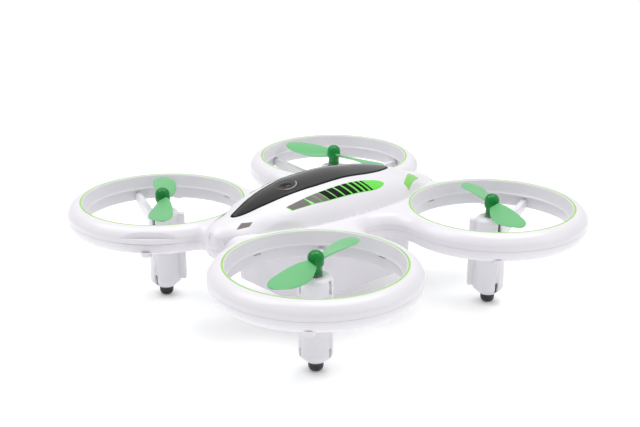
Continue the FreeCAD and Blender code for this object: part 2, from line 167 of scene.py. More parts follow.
class Plan:
    """One quarter of the body's plan, for x, y >= 0, round a guard's centre.

    Its outline is four arcs that meet in tangents: nose or tail tip, notch fillet, guard, waist.
    """

    def __init__(self, end):
        self.end = end
        self.tip = np.array([0.0, end - TIP_R])
        self.ring = np.array([HALF_SPACING, HALF_SPACING])
        self.waist = np.array([WEB_X + WEB_BLEND_R, 0.0])
        to_ring = self.ring - self.tip
        gap = np.hypot(*to_ring)
        reach_tip, reach_ring = TIP_R + NOTCH_R, GUARD_R + NOTCH_R
        along = (gap ** 2 + reach_tip ** 2 - reach_ring ** 2) / (2 * gap)
        aside = math.sqrt(reach_tip ** 2 - along ** 2)
        unit = to_ring / gap
        self.notch = self.tip + unit * along + np.array([-unit[1], unit[0]]) * aside

    @staticmethod
    def angle(start, end):
        return math.atan2(end[1] - start[1], end[0] - start[0])

    def inset(self, x, y):
        """Distance in from the outline, where an arc of it lies straight out from the point."""
        result = np.full(np.shape(x), FAR)

        def take(centre, first, last, distance):
            turn = np.arctan2(y - centre[1], x - centre[0])
            turn = first + np.mod(turn - first, 2 * math.pi)
            found = distance(np.hypot(x - centre[0], y - centre[1]))
            np.copyto(result, np.minimum(result, found), where=turn <= last + 1e-6)

        take(self.tip, self.angle(self.tip, self.notch), math.pi / 2, lambda r: TIP_R - r)
        take(self.ring, self.angle(self.ring, self.waist), self.angle(self.ring, self.notch),
             lambda r: GUARD_R - r)
        take(self.notch, self.angle(self.notch, self.tip), self.angle(self.notch, self.ring),
             lambda r: r - NOTCH_R)
        take(self.waist, self.angle(self.waist, self.ring), math.pi, lambda r: r - WEB_BLEND_R)
        return np.maximum(result, 0)

    def columns(self):
        """Matching points on the guard's circle (as angles) and on the quarter's rim.

        Returns angles, rim points, and how much each rim point belongs to the outline.
        """
        ring_first = self.angle(self.ring, self.notch)
        ring_last = self.angle(self.ring, self.waist)
        angles, rim, outline = [], [], []

        def add(turns, points, share):
            angles.extend(turns)
            rim.extend(points)
            outline.extend(share)

        def arc(centre, radius, turns):
            return [(centre[0] + radius * math.cos(t), centre[1] + radius * math.sin(t)) for t in turns]

        def fade(count, low, high):
            return list(np.linspace(low, high, count, endpoint=False))

        turns = np.linspace(ring_first, ring_last, RING_COLUMNS, endpoint=False)
        add(turns, arc(self.ring, GUARD_R, turns), [1.0] * RING_COLUMNS)
        count = [WAIST_COLUMNS, ACROSS_COLUMNS, ALONG_COLUMNS, TIP_COLUMNS, NOTCH_COLUMNS]
        keys = [ring_last + 2 * math.pi]
        keys += [math.radians(turn) for turn in (ACROSS_START, ALONG_START, TIP_START, NOTCH_START)]
        keys.append(ring_first)
        spans = [np.linspace(keys[i], keys[i + 1], count[i], endpoint=False) for i in range(5)]
        waist_turns = np.linspace(self.angle(self.waist, self.ring), math.pi, count[0], endpoint=False)
        add(spans[0], arc(self.waist, WEB_BLEND_R, waist_turns), [1.0] * count[0])
        add(spans[1], [(x, 0.0) for x in np.linspace(WEB_X, 0, count[1], endpoint=False)],
            fade(count[1], 1, 0))
        add(spans[2], [(0.0, y) for y in np.linspace(0, self.end, count[2], endpoint=False)],
            [0.0] * (count[2] - TIP_FADE_COLUMNS) + fade(TIP_FADE_COLUMNS, 0, 1))
        tip_turns = np.linspace(math.pi / 2, self.angle(self.tip, self.notch), count[3], endpoint=False)
        add(spans[3], arc(self.tip, TIP_R, tip_turns), [1.0] * count[3])
        notch_turns = np.linspace(self.angle(self.notch, self.tip), self.angle(self.notch, self.ring),
                                  count[4], endpoint=False)
        add(spans[4], arc(self.notch, NOTCH_R, notch_turns), [1.0] * count[4])
        on_outline = ([True] * (RING_COLUMNS + count[0]) + [False] * (count[1] + count[2])
                      + [True] * (count[3] + count[4]))
        return np.array(angles), np.array(rim), np.array(outline), np.array(on_outline)

    def grid(self, inner_r, rows):
        """Plan points from the guard's circle to the rim: arrays of columns by rows."""
        angles, rim, outline, on_outline = self.columns()
        u = np.linspace(0, 1, rows)[None, :]
        share = outline[:, None]
        s = (1 - share) * u + share * np.sin(u * math.pi / 2)
        start = self.ring + inner_r * np.stack([np.cos(angles), np.sin(angles)], 1)
        points = start[:, None, :] * (1 - s[..., None]) + rim[:, None, :] * s[..., None]
        return points[..., 0], points[..., 1], angles, on_outline


PLANS = {"front": Plan(-frame_low[1]), "rear": Plan(frame_high[1])}


def body_height(x, y):
    """Top of the finished body over a point, with cover, guards and web blended."""
    x, y = np.abs(np.asarray(x, float)), np.asarray(y, float)
    inset = np.where(y < 0, PLANS["front"].inset(x, -y), PLANS["rear"].inset(x, y))
    base = -quarter_roll(inset, EDGE_ROLL, EDGE_DROP)
    whole = blend_max(base, dome_height(x, y), BLEND)
    from_groove = np.hypot(x - HALF_SPACING, np.abs(y) - HALF_SPACING) - GROOVE_OUT_R
    ease = np.clip(from_groove / GROOVE_EASE, 0, 1)
    return base + (whole - base) * ease * ease * (3 - 2 * ease)


# ------------------------------------------------------------------ mesh helpers

def new_piece(name, vertices, faces, body, sharp=40.0, merge=0.0):
    """A mesh from points in millimetres, that rides on a body."""
    mesh = bpy.data.meshes.new(name)
    mesh.from_pydata([tuple(v) for v in np.asarray(vertices, float) * MM], [], faces)
    tidy = bmesh.new()
    tidy.from_mesh(mesh)
    if merge:
        bmesh.ops.remove_doubles(tidy, verts=tidy.verts, dist=merge * MM)
    bmesh.ops.recalc_face_normals(tidy, faces=tidy.faces)
    tidy.to_mesh(mesh)
    tidy.free()
    for polygon in mesh.polygons:
        polygon.use_smooth = True
    mesh.set_sharp_from_angle(angle=math.radians(sharp))
    piece = bpy.data.objects.new(name, mesh)
    bpy.context.scene.collection.objects.link(piece)
    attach(piece, body)
    return piece


class Builder:
    """Collects vertices and faces of one mesh."""

    def __init__(self):
        self.vertices, self.faces = [], []

    def add_rows(self, rows, wrap=True, skip=None):
        """rows: list of equally long rings of points. skip(i, j) leaves out a face."""
        base = len(self.vertices)
        count = len(rows[0])
        for row in rows:
            self.vertices.extend(row)
        for i in range(len(rows) - 1):
            for j in range(count if wrap else count - 1):
                if skip is None or not skip(i, j):
                    k = (j + 1) % count
                    self.faces.append((base + i * count + j, base + i * count + k,
                                       base + (i + 1) * count + k, base + (i + 1) * count + j))
        return base

    def cap(self, first, count):
        self.faces.append(tuple(range(first, first + count)))

    def turned(self, outline, centre=(0.0, 0.0), segments=96, closed=True, spread=(0.0, 360.0)):
        """A profile of (r, z) points turned about a vertical axis."""
        full = spread[1] - spread[0] >= 360
        turns = np.radians(np.linspace(spread[0], spread[1], segments, endpoint=not full))
        rows = [[(centre[0] + r * math.cos(t), centre[1] + r * math.sin(t), z) for t in turns]
                for r, z in (list(outline) + ([outline[0]] if closed else []))]
        base = self.add_rows(rows, wrap=full)
        return base, len(turns)

    def box(self, low, high, turn=0.0, centre=(0.0, 0.0)):
        base = len(self.vertices)
        c, s = math.cos(math.radians(turn)), math.sin(math.radians(turn))
        for z in (low[2], high[2]):
            for x, y in ((low[0], low[1]), (high[0], low[1]), (high[0], high[1]), (low[0], high[1])):
                self.vertices.append((centre[0] + x * c - y * s, centre[1] + x * s + y * c, z))
        for face in ((3, 2, 1, 0), (4, 5, 6, 7), (0, 1, 5, 4), (1, 2, 6, 5), (2, 3, 7, 6), (3, 0, 4, 7)):
            self.faces.append(tuple(base + i for i in face))

    def piece(self, name, body, **options):
        return new_piece(name, self.vertices, self.faces, body, **options)


def apply_modifiers(piece):
    """Bakes a piece's modifiers into its mesh."""
    bpy.context.view_layer.update()
    graph = bpy.context.evaluated_depsgraph_get()
    mesh = bpy.data.meshes.new_from_object(piece.evaluated_get(graph))
    piece.modifiers.clear()
    piece.data = mesh


def bevel(piece, width, segments=3, angle=35.0):
    """Rounds a piece's sharp edges."""
    modifier = piece.modifiers.new("edge", "BEVEL")
    modifier.width = width * MM
    modifier.segments = segments
    modifier.limit_method = "ANGLE"
    modifier.angle_limit = math.radians(angle)
    modifier.harden_normals = False
    apply_modifiers(piece)


def cut(piece, builder):
    """Takes a builder's closed boxes out of a piece."""
    cutter = new_piece(piece.name + "_cutter", builder.vertices, builder.faces, "airframe")
    modifier = piece.modifiers.new("cut", "BOOLEAN")
    modifier.operation = "DIFFERENCE"
    modifier.solver = "EXACT"
    modifier.object = cutter
    apply_modifiers(piece)
    bpy.data.objects.remove(cutter)


# ------------------------------------------------------------------ body shells

SURFACE_ROWS = 62
SHELL_GAP = 0.03         # half the width of the seam between upper and lower mouldings
UNDERSIDE_IN_R = 26.3    # where the flat underside of a lower guard starts

# Inner wall of the upper guard, from its foot up to the outer edge of the light's groove
UPPER_WALL = [
    (24.75, SEAM + SHELL_GAP), (24.6, SEAM + 0.12), (24.6, SEAM + 0.42), (24.66, SEAM + 0.52),
    (24.9, SEAM + 0.72), (25.0, SEAM + 1.0), (25.12, SEAM + 1.9), (25.28, -1.2), (25.36, -0.4),
    (25.42, -0.14), (25.54, -0.02), (GROOVE_IN_R - 0.02, 0.0), (GROOVE_IN_R, -0.04),
    (GROOVE_IN_R, -0.45), (GROOVE_OUT_R, -0.45), (GROOVE_OUT_R, -0.04),
]
# Inner wall of the lower guard, from the seam down and round to its underside
LOWER_WALL = [
    (26.0, SEAM - SHELL_GAP), (25.98, SEAM - 1.2), (25.95, UNDER + 0.55), (26.0, UNDER + 0.25),
    (26.12, UNDER + 0.08),
]


def quarter(plan, wall, surface, inner_r, rim_z, builder, flip_x, flip_y):
    """Adds one quarter of a shell: inner wall, outer surface, rim and flat joint face."""
    x, y, angles, on_outline = plan.grid(inner_r, SURFACE_ROWS)
    z = surface(x, y)
    cos, sin = np.cos(angles), np.sin(angles)
    rows = [np.stack([plan.ring[0] + r * cos, plan.ring[1] + r * sin, np.full(len(angles), h)], 1)
            for r, h in wall]
    rows += [np.stack([x[:, i], y[:, i], z[:, i]], 1) for i in range(SURFACE_ROWS)]
    rim = rows[-1].copy()
    rim[:, 2] = rim_z
    rows += [rim, rows[0].copy()]
    rim_row = len(rows) - 3
    turned = [[(flip_x * px, flip_y * py, TOP_Z + pz) for px, py, pz in row] for row in rows]
    builder.add_rows(turned, skip=lambda i, j: i == rim_row and not on_outline[j])


def build_shell(name, wall, surface_of, inner_r, rim_z):
    """A whole moulding from its four quarters."""
    builder = Builder()
    for flip_y, end in ((-1, "front"), (1, "rear")):
        for flip_x in (1, -1):
            plan = PLANS[end]
            quarter(plan, wall, lambda x, y: surface_of(plan, x, y * flip_y), inner_r, rim_z,
                    builder, flip_x, flip_y)
    return builder.piece(name, "airframe", sharp=38.0, merge=0.004)


def upper_surface(plan, x, y):
    return body_height(x, y)


def lower_surface(plan, x, y):
    return UNDER + quarter_roll(plan.inset(np.abs(x), np.abs(y)), UNDER_ROLL, SEAM - SHELL_GAP - UNDER)


upper_shell = build_shell("upper_shell", UPPER_WALL, upper_surface, GROOVE_OUT_R, SEAM + SHELL_GAP)
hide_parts("top_cover", "upper_frame", *["guard_upper_" + c for c in CORNERS])
lower_shell = build_shell("lower_shell", LOWER_WALL, lower_surface, UNDERSIDE_IN_R, SEAM - SHELL_GAP)
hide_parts("lower_frame", *["guard_lower_" + c for c in CORNERS])


def from_top(profile):
    """A profile with heights counted from the guards' top edge, with heights from the ground."""
    return [(r, TOP_Z + z) for r, z in profile]


LIGHT_PROFILE = [(GROOVE_IN_R + 0.01, -0.4), (GROOVE_OUT_R - 0.01, -0.4), (GROOVE_OUT_R - 0.01, -0.05),
                 (GROOVE_OUT_R - 0.1, 0.0), (GROOVE_IN_R + 0.1, 0.0), (GROOVE_IN_R + 0.01, -0.05)]
for corner in CORNERS:
    light_builder = Builder()
    light_builder.turned(from_top(LIGHT_PROFILE), CENTRE[corner], 288)
    light = light_builder.piece("light_line_" + corner, "airframe")
    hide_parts("light_ring_" + corner)

BOSS_CIRCLE_R, BOSS_R, BOSS_HOLE_R = 28.0, 1.7, 1.05
BOSS_TURNS = (45, 135, 225, 315)
BOSS_ROOT, BOSS_END = UNDER + 1.2, UNDER - 0.5
BOSS_PROFILE = [(BOSS_HOLE_R, BOSS_ROOT), (BOSS_HOLE_R, UNDER - 0.42), (BOSS_HOLE_R + 0.08, BOSS_END),
                (BOSS_R - 0.15, BOSS_END), (BOSS_R, UNDER - 0.38), (BOSS_R + 0.1, BOSS_ROOT)]
boss_builder = Builder()
for corner in CORNERS:
    for turn in np.radians(BOSS_TURNS):
        at = CENTRE[corner] + BOSS_CIRCLE_R * np.array([math.cos(turn), math.sin(turn)])
        boss_builder.turned(from_top(BOSS_PROFILE), at, 32)
screw_bosses = boss_builder.piece("screw_bosses", "airframe")

# Small dark wire passages under the ledge, either side of the spoke that points at the body
PASSAGE_IN_R, PASSAGE_OUT_R = 25.9, 26.05
PASSAGE_TOP, PASSAGE_BOTTOM = SEAM - 0.5, SEAM - 0.95
PASSAGE_HALF_LENGTH = 1.3
PASSAGE_TURNS = (-45, 45)
PASSAGE_PROFILE = [(PASSAGE_IN_R, PASSAGE_TOP), (PASSAGE_IN_R, PASSAGE_BOTTOM),
                   (PASSAGE_OUT_R, PASSAGE_BOTTOM), (PASSAGE_OUT_R, PASSAGE_TOP)]
slot_builder = Builder()
for corner in CORNERS:
    for turn in PASSAGE_TURNS:
        middle = OUTWARD[corner] + 180 + turn
        half = math.degrees(PASSAGE_HALF_LENGTH / PASSAGE_IN_R)
        base, count = slot_builder.turned(from_top(PASSAGE_PROFILE), CENTRE[corner], 10,
                                          spread=(middle - half, middle + half))
        for column in (0, count - 1):
            slot_builder.faces.append(tuple(base + row * count + column for row in range(4)))
wire_slots = slot_builder.piece("wire_slots", "airframe")


# ------------------------------------------------------------------ pieces let into the top cover

def draped(name, x, y, lift, depth=0.45, builder=None):
    """A thin closed piece over a grid of plan points, that follows the body's surface.

    lift is the height of its top above the surface, one value or one per grid point.
    """
    target = builder or Builder()
    ground = TOP_Z + body_height(x, y)
    top, bottom = ground + lift, ground - depth
    rows, columns = x.shape
    loop = ([(i, 0) for i in range(rows)] + [(rows - 1, j) for j in range(1, columns)]
            + [(i, columns - 1) for i in range(rows - 2, -1, -1)]
            + [(0, j) for j in range(columns - 2, 0, -1)])
    base = len(target.vertices)
    for level in (top, bottom):
        for i in range(rows):
            target.vertices.extend(zip(x[i], y[i], level[i]))
    size = rows * columns
    for i in range(rows - 1):
        for j in range(columns - 1):
            a, b = base + i * columns + j, base + (i + 1) * columns + j
            target.faces.append((a, a + 1, b + 1, b))
            target.faces.append((size + a, size + b, size + b + 1, size + a + 1))
    for (i, j), (k, m) in zip(loop, loop[1:] + loop[:1]):
        a, b = base + i * columns + j, base + k * columns + m
        target.faces.append((a, b, size + b, size + a))
    return target if builder else target.piece(name, "airframe", merge=0.002, sharp=50)


CANOPY = np.array([
    (-38.0, 0.0), (-37.8, 0.62), (-37.2, 1.12), (-36.3, 1.6), (-35.1, 2.1), (-29.9, 3.7), (-24.7, 4.8),
    (-19.5, 5.6), (-14.3, 6.3), (-9.1, 6.65), (1.3, 6.7), (11.7, 6.55), (16.9, 5.9), (20.0, 5.0),
    (22.8, 3.9), (24.8, 2.75), (26.0, 1.5), (26.5, 0.0),
])
canopy_half_width = smooth_curve(CANOPY[:, 0], CANOPY[:, 1])
RIM_W = 0.75


def canopy_loop(inset, count=150):
    """Plan points round the canopy's outline, moved inward."""
    share = (1 - np.cos(np.linspace(0, math.pi, count))) / 2
    y = CANOPY[0, 0] + (CANOPY[-1, 0] - CANOPY[0, 0]) * share
    x = canopy_half_width(y)
    x[0] = x[-1] = 0
    x, y = np.concatenate([x, -x[-2:0:-1]]), np.concatenate([y, y[-2:0:-1]])
    along_x, along_y = np.roll(x, -1) - np.roll(x, 1), np.roll(y, -1) - np.roll(y, 1)
    length = np.hypot(along_x, along_y)
    return x - along_y / length * inset, y + along_x / length * inset


# How far in from the outline, and how high above the surface
RIM_PROFILE = [(0.0, -0.4), (0.0, 0.06), (0.06, 0.14), (RIM_W - 0.1, 0.14), (RIM_W, 0.06), (RIM_W, -0.4)]
rim_builder = Builder()
rim_rows = []
for inset, lift in RIM_PROFILE:
    x, y = canopy_loop(inset)
    rim_rows.append(list(zip(x, y, TOP_Z + body_height(x, y) + lift)))
rim_builder.add_rows(rim_rows + rim_rows[:1])
canopy_rim = rim_builder.piece("canopy_rim", "airframe", merge=0.002)

rows = CANOPY[0, 0] + RIM_W + (CANOPY[-1, 0] - CANOPY[0, 0] - 2 * RIM_W) * (
    1 - np.cos(np.linspace(0.02, math.pi - 0.02, 130))) / 2
across = np.linspace(-1, 1, 33)[None, :]
half = np.clip(canopy_half_width(rows) - RIM_W + 0.08, 0.05, None)[:, None]
canopy_x, canopy_y = half * across, rows[:, None] + 0 * across
canopy_window = draped("canopy_glass", canopy_x, canopy_y, 0.1 + 0.16 * (1 - across ** 2) + 0 * canopy_x)
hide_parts("canopy_window")

LENS_AT = (0.4, -17.2)
BEZEL_R, LENS_R = 3.7, 2.0


def on_canopy(name, profile, segments=96, start=0.0, stop=360.0):
    """A turned profile that sits on the canopy round the lens. Heights are above its surface."""
    builder = Builder()
    full = stop - start >= 360
    turns = np.radians(np.linspace(start, stop, segments, endpoint=not full))
    rows = []
    for r, lift in profile + profile[:1]:
        x, y = LENS_AT[0] + r * np.cos(turns), LENS_AT[1] + r * np.sin(turns)
        rows.append(list(zip(x, y, TOP_Z + body_height(x, y) + lift)))
    base = builder.add_rows(rows, wrap=full)
    if not full:
        count = len(turns)
        for column in (0, count - 1):
            builder.faces.append(tuple(base + row * count + column for row in range(len(profile))))
    return builder.piece(name, "airframe", merge=0.001, sharp=35)


bezel = on_canopy("lens_bezel", [(BEZEL_R, 0.0), (BEZEL_R, 0.3), (BEZEL_R - 0.15, 0.4), (BEZEL_R - 0.45, 0.4),
                                 (BEZEL_R - 0.7, 0.22), (LENS_R + 0.25, 0.12), (LENS_R, 0.2),
                                 (LENS_R - 0.1, 0.0)])
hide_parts("camera_bezel")
lens_profile = [(LENS_R * math.cos(t), 0.1 + 0.5 * math.sin(t))
                for t in np.linspace(0, math.pi / 2 - 0.02, 14)]
lens = on_canopy("lens_glass", [(0.02, 0.0), (LENS_R, 0.0)] + lens_profile)
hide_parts("camera_lens")

# The pale arc round the lens bezel is a painted highlight along the bezel's rim; the short red arc is print.
PRINT_AND_HIGHLIGHT_IN_R, PRINT_AND_HIGHLIGHT_OUT_R = BEZEL_R - 0.42, BEZEL_R - 0.12
PRINT_AND_HIGHLIGHT_PROFILE = [(PRINT_AND_HIGHLIGHT_IN_R, 0.38), (PRINT_AND_HIGHLIGHT_IN_R, 0.45), (PRINT_AND_HIGHLIGHT_OUT_R, 0.45), (PRINT_AND_HIGHLIGHT_OUT_R, 0.36)]
for name, segments, start, stop in (("lens_accent", 40, -40, 75), ("lens_accent_red", 16, -72, -42)):
    highlight_and_print_arc = on_canopy(name, PRINT_AND_HIGHLIGHT_PROFILE, segments, start, stop)

# Side panel: where its upper and lower edge run, as half widths along the craft
PANEL_FRONT, PANEL_REAR = -24.1, 14.6
panel_upper = smooth_curve([-24.1, -18.0, -11.5, -2.2, 6.8, 10.5, 12.9, 14.1, 14.6],
                           [8.8, 9.05, 9.15, 9.1, 9.35, 9.7, 10.2, 10.7, 11.35])
panel_lower = smooth_curve([-24.1, -18.0, -9.6, 1.3, 7.6, 10.5, 12.9, 14.1, 14.6],
                           [10.3, 11.4, 12.45, 12.95, 13.05, 12.85, 12.3, 11.8, 11.35])
PANEL_RAKE = 1.1
SLAT_RAKE = 2.1
# Where each bar starts and ends along the upper edge, and whether it is grey
SLATS = [(-23.8, -17.4, True), (-17.1, -14.5, True), (-14.2, -11.8, True), (-11.45, -8.9, False),
         (-8.4, -5.9, False), (-5.2, -2.9, False), (-2.1, -0.2, False), (0.8, 2.2, False),
         (3.3, 4.4, False), (5.5, 6.3, False)]


def panel_patch(builder, side, first, last, rake, lift, margin, rows=24, columns=14):
    """Adds one bar between two places along the side panel."""
    s = np.linspace(first, last, rows)[:, None]
    v = np.linspace(margin, 1 - margin, columns)[None, :]
    y = np.minimum(s + rake * v, PANEL_REAR - 0.02)
    x = panel_upper(y) * (1 - v) + panel_lower(y) * v
    draped("", side * x, y, lift, builder=builder)


for side_name, side in SIDES:
    s = PANEL_FRONT + (PANEL_REAR - PANEL_FRONT) * np.linspace(0, 1, 90)[:, None] ** 0.9
    v = np.linspace(0, 1, 16)[None, :]
    y = s + PANEL_RAKE * v * (PANEL_REAR - s) / (PANEL_REAR - PANEL_FRONT)
    x = panel_upper(y) * (1 - v) + panel_lower(y) * v
    panel = draped("side_inlay_" + side_name, side * x, y, 0.06)
    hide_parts("side_panel_" + side_name)
    for shade, grey in (("grey", True), ("black", False)):
        bars = Builder()
        for first, last, is_grey in SLATS:
            if is_grey == grey:
                panel_patch(bars, side, first, last, PANEL_RAKE if first < -20 else SLAT_RAKE, 0.14,
                            margin=0.03)
        slats = bars.piece("side_bars_%s_%s" % (shade, side_name), "airframe", merge=0.002, sharp=50)
        if not grey:
            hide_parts("side_slats_" + side_name)


def quad_patch(name, corners, side, rows=16, columns=12):
    """A draped patch between four plan corners, in order round it."""
    a, b, c, d = [np.array(point) for point in corners]
    u = np.linspace(0, 1, rows)[:, None, None]
    v = np.linspace(0, 1, columns)[None, :, None]
    points = (a * (1 - v) + b * v) * (1 - u) + (d * (1 - v) + c * v) * u
    return draped(name, side * points[..., 0], points[..., 1], 0.08)


HEADLIGHT = [(4.45, -37.6), (6.2, -34.8), (6.6, -36.3), (5.3, -40.1)]
TAIL_LIGHT = [(4.1, 33.5), (6.4, 35.8), (13.2, 24.1), (11.7, 23.4)]
for side_name, side in SIDES:
    front = quad_patch("head_lamp_" + side_name, HEADLIGHT, side)
    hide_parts("headlight_" + side_name)
    back = quad_patch("tail_lamp_" + side_name, TAIL_LIGHT, side)
    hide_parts("tail_light_" + side_name)

# ------------------------------------------------------------------ motor pods, feet and propellers

POD_BORE_R = 3.6
FOOT_R = 2.28
POD_MOUTH_R = 1.97
POD_LID = 2.1            # thickness of the pod's closed top
POD_SHOULDER = 1.6
SLEEVE_IN_R, SLEEVE_OUT_R = 3.52, 3.59
FOOT_FLAT_R, FOOT_ROUND = 0.9, 1.8


def corner_bar(builder, corner, turn, r_from, r_to, half_width, low, high):
    """A square bar that runs out from a corner's axis."""
    builder.box((r_from, -half_width, low), (r_to, half_width, high), turn, CENTRE[corner])


SPOKE_TURNS = (60, 180, 300)
SPOKE_HALF_WIDTH = 1.0
SPOKE_END_R = 25.95
DUCT_OUT_R, DUCT_HALF_WIDTH = 6.8, 1.2
SLOT_TURNS = (60, 300)
SLOT_HALF_WIDTH = 0.6
SLOT_HEIGHTS = ((POD_BOTTOM + 1.3, POD_BOTTOM + 4.9), (POD_TOP - 4.6, POD_TOP - 0.7))

# Height of a spoke's upper and lower edge, where it leaves the pod and where it meets the guard
SPOKE_OUTLINE = ((POD_R - 0.8, POD_TOP - 6.0), (SPOKE_END_R, TOP_Z + SEAM - 0.8),
                 (SPOKE_END_R, TOP_Z + UNDER + 0.2), (POD_R - 0.8, POD_TOP - 12.0))


def add_spoke(builder, corner, turn):
    """A flat-sided spoke that gets less deep towards the guard."""
    c, s = math.cos(math.radians(turn)), math.sin(math.radians(turn))
    first = len(builder.vertices)
    for side in (-SPOKE_HALF_WIDTH, SPOKE_HALF_WIDTH):
        for r, z in SPOKE_OUTLINE:
            builder.vertices.append((CENTRE[corner][0] + r * c - side * s,
                                     CENTRE[corner][1] + r * s + side * c, z))
    for face in ((0, 1, 2, 3), (7, 6, 5, 4), (0, 4, 5, 1), (1, 5, 6, 2), (2, 6, 7, 3), (3, 7, 4, 0)):
        builder.faces.append(tuple(first + i for i in face))


def add_pod(corner):
    """The motor's housing, with its cooling slots."""
    profile = [(POD_BORE_R, POD_TOP - POD_LID), (POD_MOUTH_R, POD_TOP - POD_LID),
               (POD_MOUTH_R, POD_TOP - 0.15), (POD_MOUTH_R + 0.15, POD_TOP), (POD_R - POD_SHOULDER, POD_TOP)]
    profile += [(POD_R - POD_SHOULDER + POD_SHOULDER * math.sin(t),
                 POD_TOP - POD_SHOULDER + POD_SHOULDER * math.cos(t))
                for t in np.linspace(0.15, math.pi / 2, 9)]
    profile += [(POD_R, POD_BOTTOM + 2.75), (POD_R - 0.04, POD_BOTTOM + 2.35),
                (POD_R - 0.2, POD_BOTTOM + 1.95), (POD_R - 2.1, POD_BOTTOM + 0.22),
                (POD_R - 2.28, POD_BOTTOM + 0.06), (POD_R - 2.5, POD_BOTTOM), (1.0, POD_BOTTOM),
                (1.0, POD_BOTTOM + 0.9), (POD_BORE_R, POD_BOTTOM + 1.1)]
    builder = Builder()
    builder.turned(profile, CENTRE[corner], 96)
    pod = builder.piece("pod_" + corner, "airframe", sharp=50, merge=0.001)
    slots = Builder()
    for turn in SLOT_TURNS:
        for low, high in SLOT_HEIGHTS:
            corner_bar(slots, corner, OUTWARD[corner] + turn, POD_R - 1.75, POD_R + 1, SLOT_HALF_WIDTH,
                       low, high)
    cut(pod, slots)
    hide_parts("motor_pod_" + corner)


def add_painted_shade_sleeve(corner):
    """A dark sleeve of painted shade inside the pod, that shows through the slots."""
    low, high = POD_BOTTOM + 1.2, POD_TOP - 2.2
    builder = Builder()
    builder.turned([(SLEEVE_IN_R, low), (SLEEVE_OUT_R, low), (SLEEVE_OUT_R, high), (SLEEVE_IN_R, high)],
                   CENTRE[corner], 64)
    sleeve = builder.piece("motor_sleeve_" + corner, "airframe", sharp=50)


def add_duct(corner):
    """The cable duct up the side of a pod that faces the body."""
    builder = Builder()
    corner_bar(builder, corner, OUTWARD[corner] + 180, POD_R - 0.9, DUCT_OUT_R, DUCT_HALF_WIDTH,
               POD_BOTTOM + 2.8, POD_TOP - 0.8)
    duct = builder.piece("pod_duct_" + corner, "airframe")
    bevel(duct, 0.35, 3)


def add_spokes(corner):
    builder = Builder()
    for turn in SPOKE_TURNS:
        add_spoke(builder, corner, OUTWARD[corner] + turn)
    spokes = builder.piece("spokes_" + corner, "airframe")
    bevel(spokes, 0.4, 4)


def add_foot(corner):
    profile = [(1.6, POD_BOTTOM + 0.1), (FOOT_R, POD_BOTTOM + 0.05)]
    profile += [(FOOT_FLAT_R + (FOOT_R - FOOT_FLAT_R) * math.cos(t), FOOT_ROUND - FOOT_ROUND * math.sin(t))
                for t in np.linspace(0, math.pi / 2, 14)]
    profile.append((0.1, 0.0))
    builder = Builder()
    base, count = builder.turned(profile, CENTRE[corner], 48, closed=False)
    builder.cap(base, count)
    builder.cap(base + (len(profile) - 1) * count, count)
    foot = builder.piece("rubber_foot_" + corner, "airframe", sharp=50)
    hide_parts("foot_" + corner)


for corner in CORNERS:
    add_pod(corner)
    add_painted_shade_sleeve(corner)
    add_duct(corner)
    add_spokes(corner)
    add_foot(corner)

# Distance from the axis, chord, thickness, pitch in degrees, how far the section sits back
BLADE = np.array([
    (1.2, 2.8, 1.2, 31.0, 0.0), (2.6, 3.8, 1.1, 29.0, 0.1), (5.0, 5.4, 1.0, 26.0, 0.3),
    (9.0, 7.1, 0.8, 20.0, 0.6), (13.0, 7.8, 0.7, 14.5, 0.7), (16.5, 7.8, 0.65, 9.5, 0.6),
    (19.0, 6.9, 0.6, 6.0, 0.4), (21.0, 4.7, 0.5, 3.0, 0.2), (22.0, 2.7, 0.4, 1.8, 0.1),
    (22.35, 1.3, 0.4, 1.5, 0.0),
])
blade_chord = smooth_curve(BLADE[:, 0], BLADE[:, 1])
blade_thickness = smooth_curve(BLADE[:, 0], BLADE[:, 2])
blade_pitch = smooth_curve(BLADE[:, 0], BLADE[:, 3])
blade_back = smooth_curve(BLADE[:, 0], BLADE[:, 4])
BLADE_FULLNESS = 0.85    # a section's thickness against the table's
BLADE_CAMBER = 0.035     # of the chord
BLADE_MID = TOP_Z
HUB_Z, HUB_TOP = TOP_Z - 3.3, TOP_Z + 3.4
HUB_R, HUB_DOME = 2.35, 2.2
HUB_BORE_R, HUB_BORE_END = 0.55, TOP_Z + 1.1


def blade_rows(spin):
    """Rings of points of one blade along +X, root to tip, with a cambered section."""
    around = np.linspace(0, 2 * math.pi, 40, endpoint=False)
    rows = []
    root, tip = BLADE[0, 0], BLADE[-1, 0]
    stations = root + (tip - root) * np.sin(np.linspace(0, math.pi / 2, 46))
    for r in stations:
        chord, thick = float(blade_chord(r)), float(blade_thickness(r)) * BLADE_FULLNESS
        pitch = math.radians(float(blade_pitch(r)))
        along = np.cos(around) * chord / 2
        across = np.sign(np.sin(around)) * np.abs(np.sin(around)) ** 0.75 * thick / 2
        across += BLADE_CAMBER * chord * (1 - (2 * along / chord) ** 2) * min(1.0, (r - root) / 8)
        along -= float(blade_back(r))
        y = along * math.cos(pitch) - across * math.sin(pitch)
        z = along * math.sin(pitch) + across * math.cos(pitch)
        rows.append([(r, spin * py, BLADE_MID + pz) for py, pz in zip(y, z)])
    return rows


def add_blades(corner, body):
    rows = blade_rows(SPIN[corner])
    count = len(rows[0])
    for index, extra in enumerate((0, 180)):
        turn = math.radians(REST_ANGLE[corner] + extra)
        c, s = math.cos(turn), math.sin(turn)
        builder = Builder()
        base = builder.add_rows([[(CENTRE[corner][0] + x * c - y * s, CENTRE[corner][1] + x * s + y * c, z)
                                  for x, y, z in row] for row in rows])
        builder.cap(base, count)
        builder.cap(base + (len(rows) - 1) * count, count)
        blade = builder.piece("blade_%s_%d" % (corner, index + 1), body, sharp=60)


